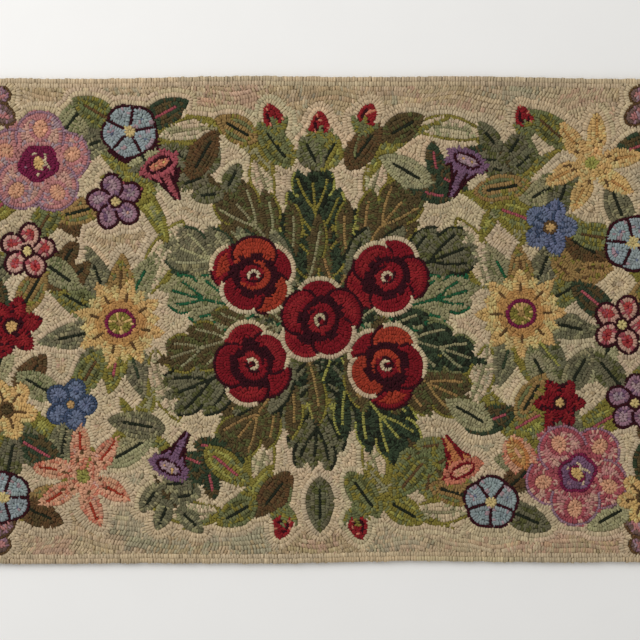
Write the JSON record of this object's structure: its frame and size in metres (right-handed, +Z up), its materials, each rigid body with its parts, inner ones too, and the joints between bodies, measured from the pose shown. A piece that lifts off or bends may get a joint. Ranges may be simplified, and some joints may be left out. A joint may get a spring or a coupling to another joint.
{
  "type": "hooked rug",
  "caption": "Flat rectangular hand-hooked wool scatter rug with a floral pattern, laid on a floor.",
  "frame": {"origin": "middle of the flat underside, on the surface that the rug lies on", "axes": "+X along the long side, +Y across it towards the top of the pattern, +Z up through the pile"},
  "size_m": [0.915, 0.61, 0.008],
  "materials": {
    "wool_pile": "matt looped wool",
    "foundation": "plain-woven natural foundation cloth"
  },
  "bodies": {
    "root": {"hooked_rug": "wool_pile"}
  },
  "joints": []
}
